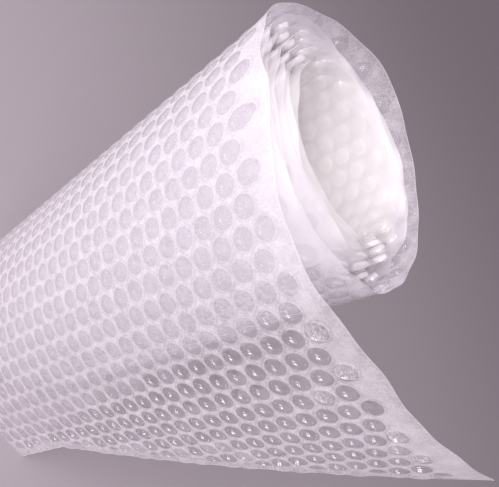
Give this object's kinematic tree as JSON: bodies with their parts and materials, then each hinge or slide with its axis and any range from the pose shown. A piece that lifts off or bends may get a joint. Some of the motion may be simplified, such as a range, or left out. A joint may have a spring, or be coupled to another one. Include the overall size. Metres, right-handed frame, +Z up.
{
  "type": "bubble wrap roll",
  "caption": "Roll of clear bubble wrap standing on its end, wound round an open hollow, with the slant-cut loose end of the sheet opened out.",
  "frame": {"origin": "bottom centre of the bounding box, on the surface the roll stands on", "axes": "+Z up along the roll's axis, +X the way the loose end runs out, loose end on the -Y side"},
  "size_m": [0.2362, 0.1474, 0.3065],
  "materials": {
    "film": "clear blown film, glossy, milky where layers add up"
  },
  "bodies": {
    "root": {"bubble_wrap_sheet": "film"}
  },
  "joints": []
}
